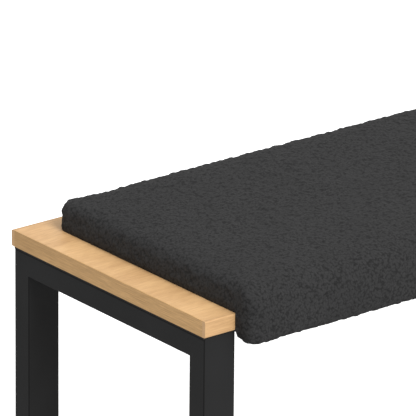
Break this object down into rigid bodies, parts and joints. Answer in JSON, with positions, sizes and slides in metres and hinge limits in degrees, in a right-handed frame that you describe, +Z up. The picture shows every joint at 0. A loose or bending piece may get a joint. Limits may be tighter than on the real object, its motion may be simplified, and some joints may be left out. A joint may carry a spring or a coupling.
{
  "type": "entryway bench",
  "caption": "Entryway bench: veneered board on rectangular steel tube frames, with a soft seat pad that rolls over the board's front edge, and levelling feet.",
  "frame": {"origin": "on the floor, under the middle of the whole bench with its seat pad", "axes": "+X along the bench, the front faces -Y, +Z up"},
  "size_m": [1, 0.358, 0.473],
  "materials": {
    "chipboard": "raw particle board, only seen in its screw holes",
    "oak_veneer": "pale oak veneer, matt lacquer, grain along the bench",
    "oak_lipping": "solid pale oak lipping, matt lacquer, grain along the bench",
    "oak_band": "pale oak end band, matt lacquer, grain along the end",
    "boucle": "charcoal looped bouclé, matt",
    "foam": "polyurethane foam, hidden",
    "liner": "black non-woven liner",
    "hook_tape": "black hook and loop tape",
    "black_steel": "fine matt black powder coat",
    "zinc": "zinc plated",
    "black_plastic": "moulded nylon"
  },
  "bodies": {
    "bench": {"board_core": "chipboard", "top_veneer": "oak_veneer", "bottom_veneer": "oak_veneer", "front_lipping": "oak_lipping", "back_lipping": "oak_lipping", "left_end_band": "oak_band", "right_end_band": "oak_band", "seat_cover": "boucle", "seat_foam": "foam", "front_roll_foam": "foam", "pad_liner": "liner", "loop_strips": "hook_tape", "hook_strips": "hook_tape", "front_stretcher": "black_steel", "rear_stretcher": "black_steel", "stretcher_end_plates": "black_steel", "stretcher_bolts": "zinc", "stretcher_rivet_nuts": "zinc", "plate_screws": "zinc", "stretcher_screws": "zinc", "foot_inserts": "zinc", "left_front_leg": "black_steel", "left_rear_leg": "black_steel", "left_top_rail": "black_steel", "left_bottom_rail": "black_steel", "left_mount_plate": "black_steel", "right_front_leg": "black_steel", "right_rear_leg": "black_steel", "right_top_rail": "black_steel", "right_bottom_rail": "black_steel", "right_mount_plate": "black_steel"},
    "left_front_foot": {"left_front_foot_pad": "black_plastic"},
    "left_front_stud": {"left_front_foot_stud": "zinc"},
    "left_rear_foot": {"left_rear_foot_pad": "black_plastic"},
    "left_rear_stud": {"left_rear_foot_stud": "zinc"},
    "right_front_foot": {"right_front_foot_pad": "black_plastic"},
    "right_front_stud": {"right_front_foot_stud": "zinc"},
    "right_rear_foot": {"right_rear_foot_pad": "black_plastic"},
    "right_rear_stud": {"right_rear_foot_stud": "zinc"}
  },
  "joints": [
    {"name": "left_front_foot_height", "type": "slide", "parent": "bench", "child": "left_front_foot", "axis": [0, 0, -1], "range_m": [0, 0.01]},
    {"name": "left_front_stud_turn", "type": "hinge", "parent": "left_front_foot", "child": "left_front_stud", "pos_m": [-0.4785, -0.114, 0.02], "axis": [0, 0, -1], "range_deg": [0, 2880.5]},
    {"name": "left_rear_foot_height", "type": "slide", "parent": "bench", "child": "left_rear_foot", "axis": [0, 0, -1], "range_m": [0, 0.01]},
    {"name": "left_rear_stud_turn", "type": "hinge", "parent": "left_rear_foot", "child": "left_rear_stud", "pos_m": [-0.4785, 0.142, 0.02], "axis": [0, 0, -1], "range_deg": [0, 2880.5]},
    {"name": "right_front_foot_height", "type": "slide", "parent": "bench", "child": "right_front_foot", "axis": [0, 0, -1], "range_m": [0, 0.01]},
    {"name": "right_front_stud_turn", "type": "hinge", "parent": "right_front_foot", "child": "right_front_stud", "pos_m": [0.4785, -0.114, 0.02], "axis": [0, 0, -1], "range_deg": [0, 2880.5]},
    {"name": "right_rear_foot_height", "type": "slide", "parent": "bench", "child": "right_rear_foot", "axis": [0, 0, -1], "range_m": [0, 0.01]},
    {"name": "right_rear_stud_turn", "type": "hinge", "parent": "right_rear_foot", "child": "right_rear_stud", "pos_m": [0.4785, 0.142, 0.02], "axis": [0, 0, -1], "range_deg": [0, 2880.5]}
  ],
  "couplings": [
    {"joint": "left_front_stud_turn", "follows": "left_front_foot_height", "rad_per_m": 5026.5},
    {"joint": "left_rear_stud_turn", "follows": "left_rear_foot_height", "rad_per_m": 5026.5},
    {"joint": "right_front_stud_turn", "follows": "right_front_foot_height", "rad_per_m": 5026.5},
    {"joint": "right_rear_stud_turn", "follows": "right_rear_foot_height", "rad_per_m": 5026.5}
  ]
}
